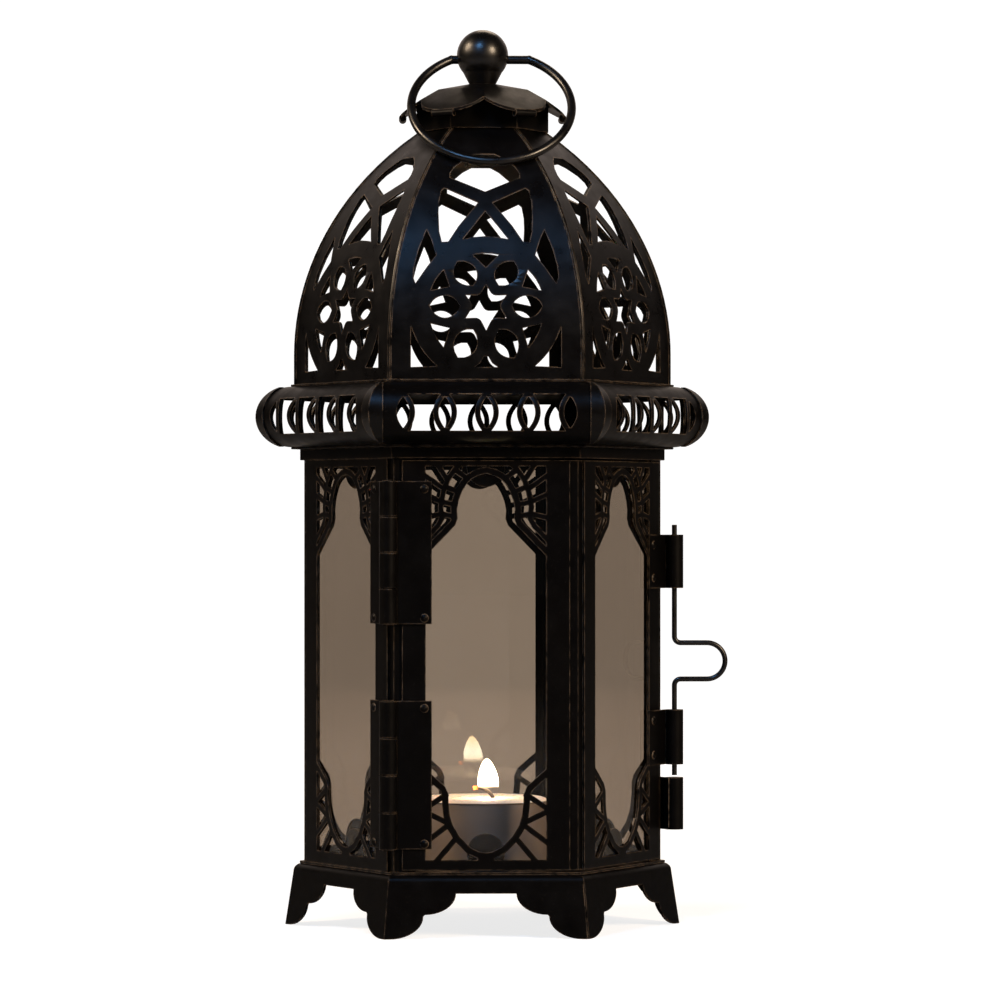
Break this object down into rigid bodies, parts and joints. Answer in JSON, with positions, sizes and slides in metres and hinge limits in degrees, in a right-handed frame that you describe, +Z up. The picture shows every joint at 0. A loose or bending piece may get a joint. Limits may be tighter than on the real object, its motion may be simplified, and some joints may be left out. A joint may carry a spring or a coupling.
{
  "type": "moroccan lantern",
  "caption": "Six-sided pierced metal lantern with domed top, half-round belt, glass panes, hinged door with slide latch, carry ring and tealight.",
  "frame": {"origin": "on the lantern's vertical axis at the height of the feet's lowest points", "axes": "+Z up; -Y out of the front door face; +X towards the latch corner"},
  "size_m": [0.138, 0.1148, 0.261],
  "materials": {
    "black_paint": "satin",
    "glass": "gloss",
    "aluminium": "satin",
    "steel": "satin",
    "wax": "satin",
    "wick": "matte"
  },
  "bodies": {
    "lantern": {"base_tray": "black_paint", "floor_plate": "black_paint", "candle_tabs": "black_paint", "panel_right_back": "black_paint", "panel_back": "black_paint", "panel_left_back": "black_paint", "panel_left_front": "black_paint", "glass_right_back": "glass", "glass_back": "glass", "glass_left_back": "glass", "glass_left_front": "glass", "post_right": "black_paint", "post_right_back": "black_paint", "post_left_back": "black_paint", "post_left": "black_paint", "post_left_front": "black_paint", "glass_clips_fixed": "black_paint", "top_rim": "black_paint", "deck_ring": "black_paint", "belt_front": "black_paint", "belt_right_front": "black_paint", "belt_right_back": "black_paint", "belt_back": "black_paint", "belt_left_back": "black_paint", "belt_left_front": "black_paint", "belt_caps": "black_paint", "dome_ring": "black_paint", "gore_front": "black_paint", "gore_right_front": "black_paint", "gore_right_back": "black_paint", "gore_back": "black_paint", "gore_left_back": "black_paint", "gore_left_front": "black_paint", "dome_seams": "black_paint", "dome_neck": "black_paint", "canopy": "black_paint", "finial_ball": "black_paint", "finial_stud": "steel", "hinge_leaf_upper": "black_paint", "hinge_leaf_lower": "black_paint", "hinge_pin_upper": "black_paint", "hinge_pin_lower": "black_paint", "latch_keeper": "black_paint", "body_rivets": "black_paint"},
    "door": {"door_panel_front": "black_paint", "door_panel_side": "black_paint", "door_stile": "black_paint", "door_glass_front": "glass", "door_glass_side": "glass", "door_leaf_upper": "black_paint", "door_leaf_lower": "black_paint", "latch_guide_upper": "black_paint", "latch_guide_lower": "black_paint", "glass_clips_door": "black_paint", "door_rivets": "black_paint"},
    "latch_bolt": {"latch_bolt": "black_paint"},
    "carry_ring": {"carry_ring": "black_paint"},
    "tealight": {"tealight_cup": "aluminium", "tealight_wax": "wax", "tealight_wick": "wick"}
  },
  "joints": [
    {"name": "door_hinge", "type": "hinge", "parent": "lantern", "child": "door", "pos_m": [-0.02765, -0.04789, 0.077], "axis": [0, 0, -1], "range_deg": [0, 180]},
    {"name": "latch_slide", "type": "slide", "parent": "door", "child": "latch_bolt", "axis": [0, 0, 1], "range_m": [-0.0055, 0.013]},
    {"name": "ring_swing", "type": "hinge", "parent": "lantern", "child": "carry_ring", "pos_m": [0, 0, 0.2523], "axis": [-1, 0, 0], "range_deg": [0, 275]},
    {"name": "tealight_lift", "type": "slide", "parent": "lantern", "child": "tealight", "axis": [0, 0, 1], "range_m": [0, 0.03]}
  ]
}
